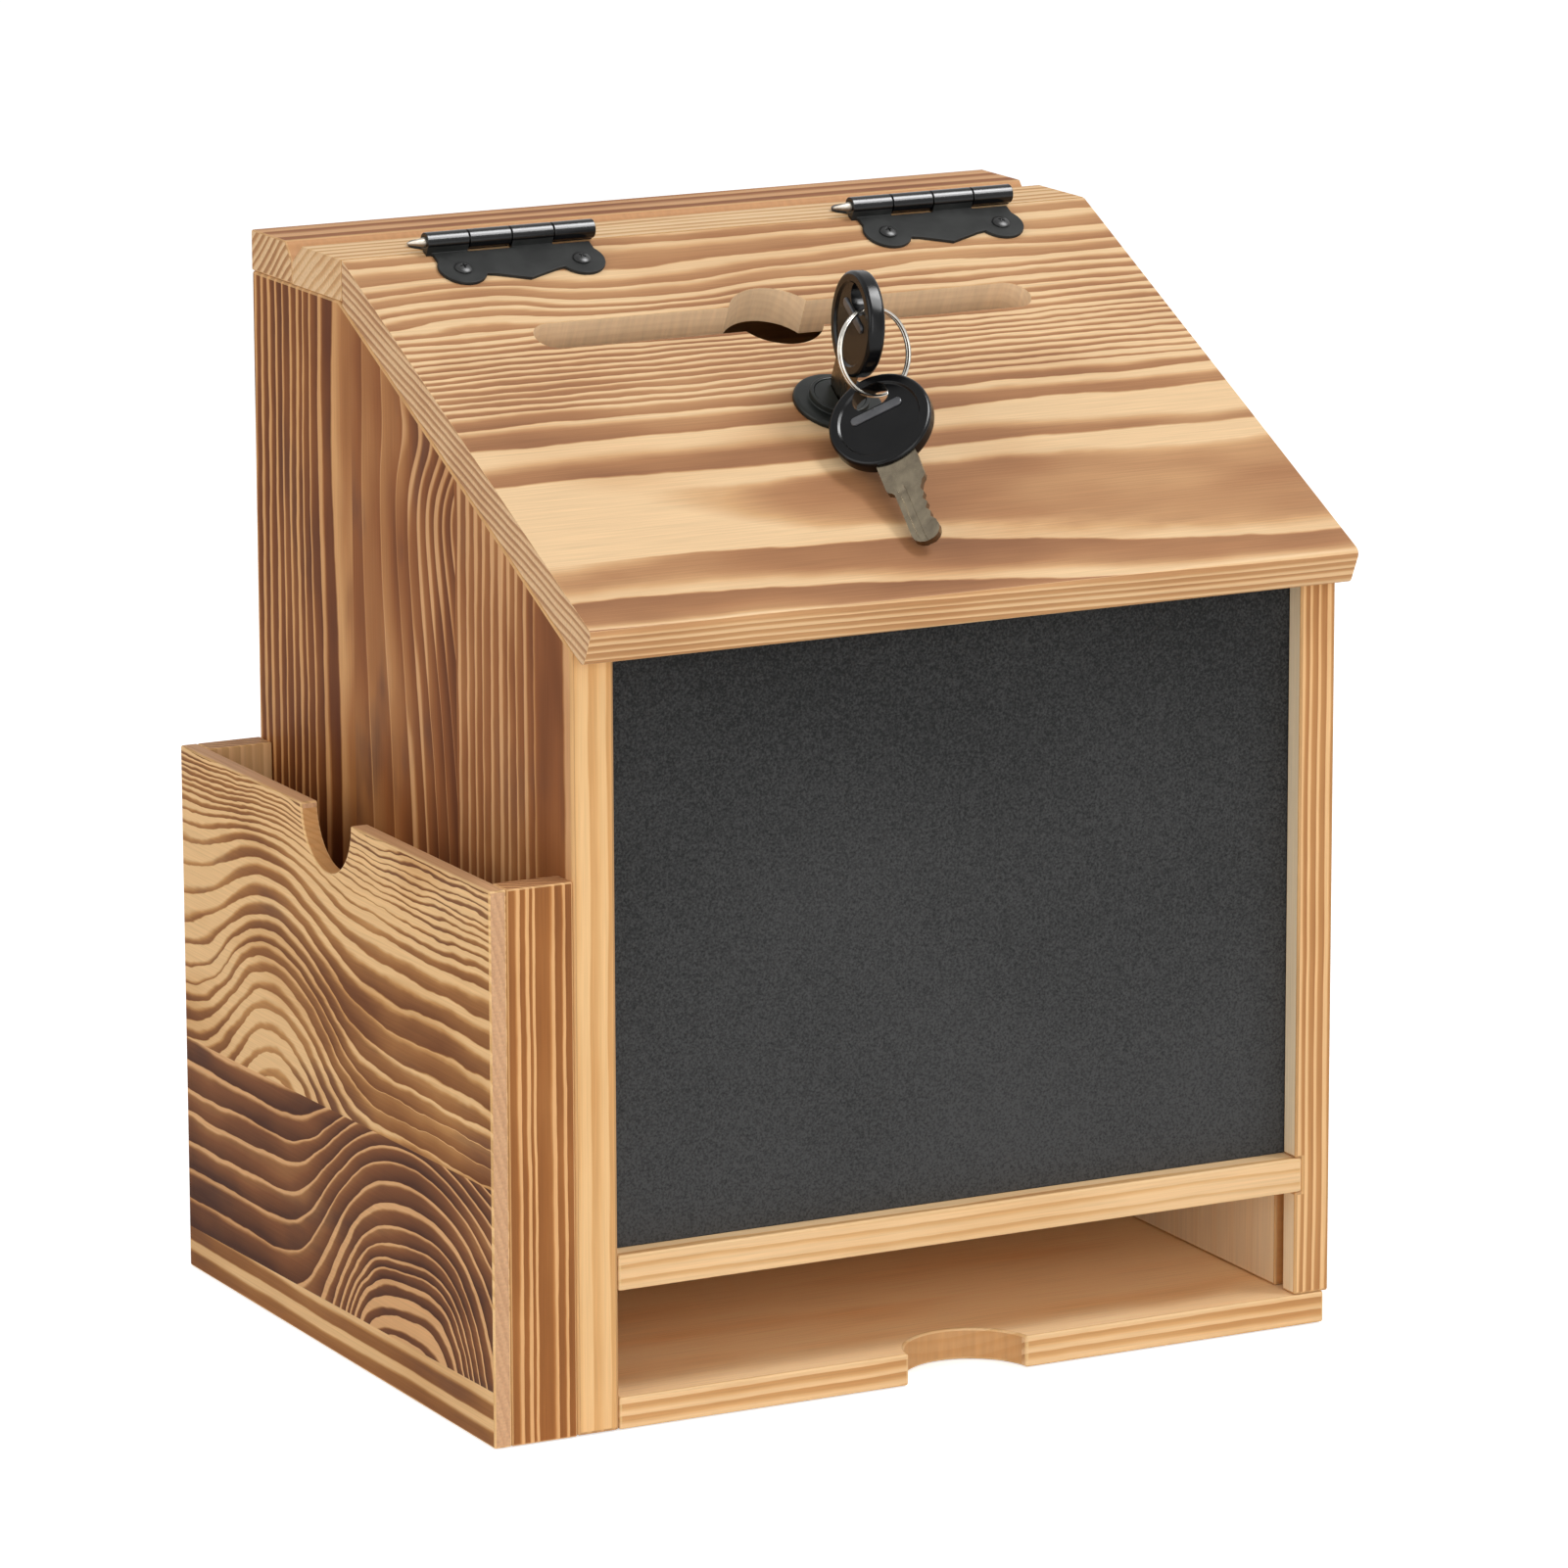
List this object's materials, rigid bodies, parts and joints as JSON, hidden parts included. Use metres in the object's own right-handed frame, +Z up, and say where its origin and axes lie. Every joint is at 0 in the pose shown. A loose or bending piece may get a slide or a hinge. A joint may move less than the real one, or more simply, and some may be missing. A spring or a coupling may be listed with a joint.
{
  "type": "wooden suggestion box",
  "caption": "Torched softwood suggestion box with a sloping hinged lid, card slot, cam lock with keys, chalkboard front, open tray and side card pocket.",
  "frame": {"origin": "bottom centre of the whole object's bounding box, on the ground", "axes": "+Z up, +X to the right seen from the front, +Y to the back, the chalkboard front faces -Y"},
  "size_m": [0.221, 0.1836, 0.2603],
  "materials": {
    "torched_softwood": "torched and brushed pine, brown grain bands on honey, thin clear oil",
    "bare_softwood": "plain planed pine, cut faces left pale",
    "chalkboard": "thin board with matt charcoal chalkboard coating",
    "black_hardware": "stamped steel with satin black coating",
    "pin_steel": "plain steel hinge pin",
    "lock_body": "die-cast housing with black finish",
    "lock_fittings": "zinc plated steel",
    "key_steel": "nickel plated key blank",
    "key_plastic": "black moulded key head, glossy",
    "ring_steel": "nickel plated spring wire"
  },
  "bodies": {
    "box": {"base_board": "torched_softwood", "left_side_panel": "torched_softwood", "right_side_panel": "torched_softwood", "back_panel": "torched_softwood", "divider_shelf": "torched_softwood", "chalkboard_panel": "chalkboard", "lock_rail": "bare_softwood", "top_front_board": "torched_softwood", "top_rear_board": "torched_softwood", "pocket_outer_panel": "torched_softwood", "pocket_front_strip": "torched_softwood", "pocket_back_strip": "torched_softwood", "pocket_floor": "bare_softwood", "left_hinge_fixed_leaf": "black_hardware", "left_hinge_pin": "pin_steel", "right_hinge_fixed_leaf": "black_hardware", "right_hinge_pin": "pin_steel", "fixed_leaf_screws": "black_hardware"},
    "lid": {"lid_board": "torched_softwood", "left_hinge_lid_leaf": "black_hardware", "right_hinge_lid_leaf": "black_hardware", "lid_leaf_screws": "black_hardware", "lock_housing": "lock_body", "lock_nut": "lock_fittings"},
    "lock_cylinder": {"lock_plug": "lock_body", "cam_arm": "lock_fittings", "cam_screw": "lock_fittings"},
    "key": {"key_blade": "key_steel", "key_head": "key_plastic"},
    "key_ring": {"split_ring": "ring_steel"},
    "spare_key": {"spare_key_blade": "key_steel", "spare_key_head": "key_plastic"}
  },
  "joints": [
    {"name": "lid_hinge", "type": "hinge", "parent": "box", "child": "lid", "pos_m": [0, 0.03909, 0.258], "axis": [-1, 0, 0], "range_deg": [0, 205]},
    {"name": "key_turn", "type": "hinge", "parent": "lid", "child": "lock_cylinder", "pos_m": [0.0075, -0.02605, 0.22276], "axis": [0, 0.4446, -0.8957], "range_deg": [0, 90]},
    {"name": "key_pull", "type": "slide", "parent": "lock_cylinder", "child": "key", "axis": [0, -0.4446, 0.8957], "range_m": [0, 0.02]},
    {"name": "ring_swing", "type": "hinge", "parent": "key", "child": "key_ring", "pos_m": [0.00726, -0.04063, 0.24768], "axis": [-0.9703, -0.2167, -0.1076], "range_deg": [0, 100]},
    {"name": "spare_key_swing", "type": "hinge", "parent": "key_ring", "child": "spare_key", "pos_m": [0.00651, -0.0444, 0.22799], "axis": [-0.9568, -0.1481, 0.2501], "range_deg": [0, 40]}
  ]
}
